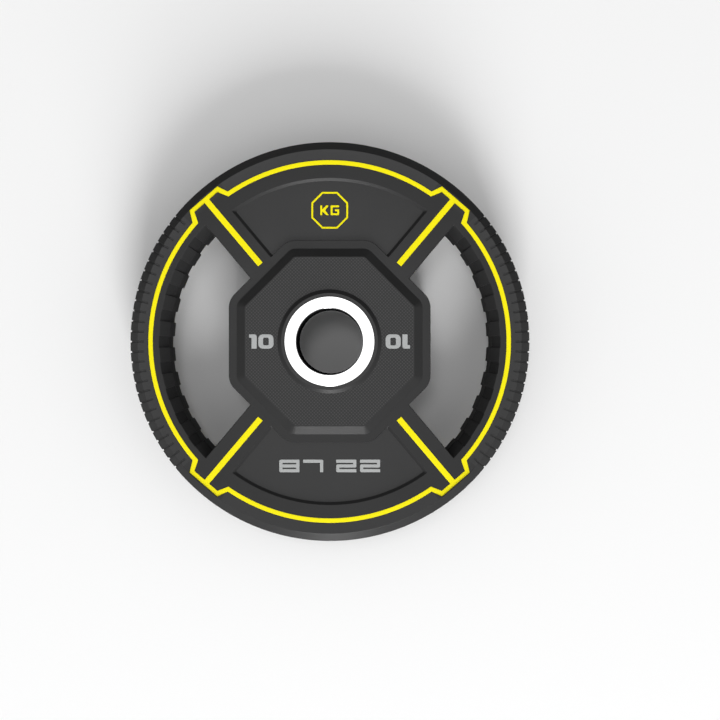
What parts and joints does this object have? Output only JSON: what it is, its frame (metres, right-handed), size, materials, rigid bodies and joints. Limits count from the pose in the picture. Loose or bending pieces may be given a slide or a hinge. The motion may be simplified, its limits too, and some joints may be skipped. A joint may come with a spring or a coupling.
{
  "type": "urethane grip weight plate",
  "caption": "Round urethane-coated weight plate with a flanged steel bore, octagonal hub, spokes, grip windows, tread on the rim and a yellow line on each face.",
  "frame": {"origin": "centre of the bore at the rear hub face, on which the plate rests", "axes": "+Z along the bore towards the front face, +Y towards the panel with the unit badge"},
  "size_m": [0.3098, 0.3098, 0.04],
  "materials": {
    "jacket": "satin moulded urethane",
    "core": "as cast",
    "sleeve": "turned stainless",
    "yellow_line": "matt coloured urethane",
    "grey_mark": "matt coloured urethane"
  },
  "bodies": {
    "root": {"iron_core": "core", "urethane_jacket": "jacket", "front_hub_sleeve": "sleeve", "front_left_one": "grey_mark", "front_left_zero": "grey_mark", "front_right_one": "grey_mark", "front_right_zero": "grey_mark", "front_pound_first_two": "grey_mark", "front_pound_second_two": "grey_mark", "front_pound_l": "grey_mark", "front_pound_b": "grey_mark", "front_badge_k": "yellow_line", "front_badge_g": "yellow_line", "front_badge_ring": "yellow_line", "front_line_inlay": "yellow_line", "rear_hub_sleeve": "sleeve", "rear_left_one": "grey_mark", "rear_left_zero": "grey_mark", "rear_right_one": "grey_mark", "rear_right_zero": "grey_mark", "rear_pound_first_two": "grey_mark", "rear_pound_second_two": "grey_mark", "rear_pound_l": "grey_mark", "rear_pound_b": "grey_mark", "rear_badge_k": "yellow_line", "rear_badge_g": "yellow_line", "rear_badge_ring": "yellow_line", "rear_line_inlay": "yellow_line"}
  },
  "joints": []
}
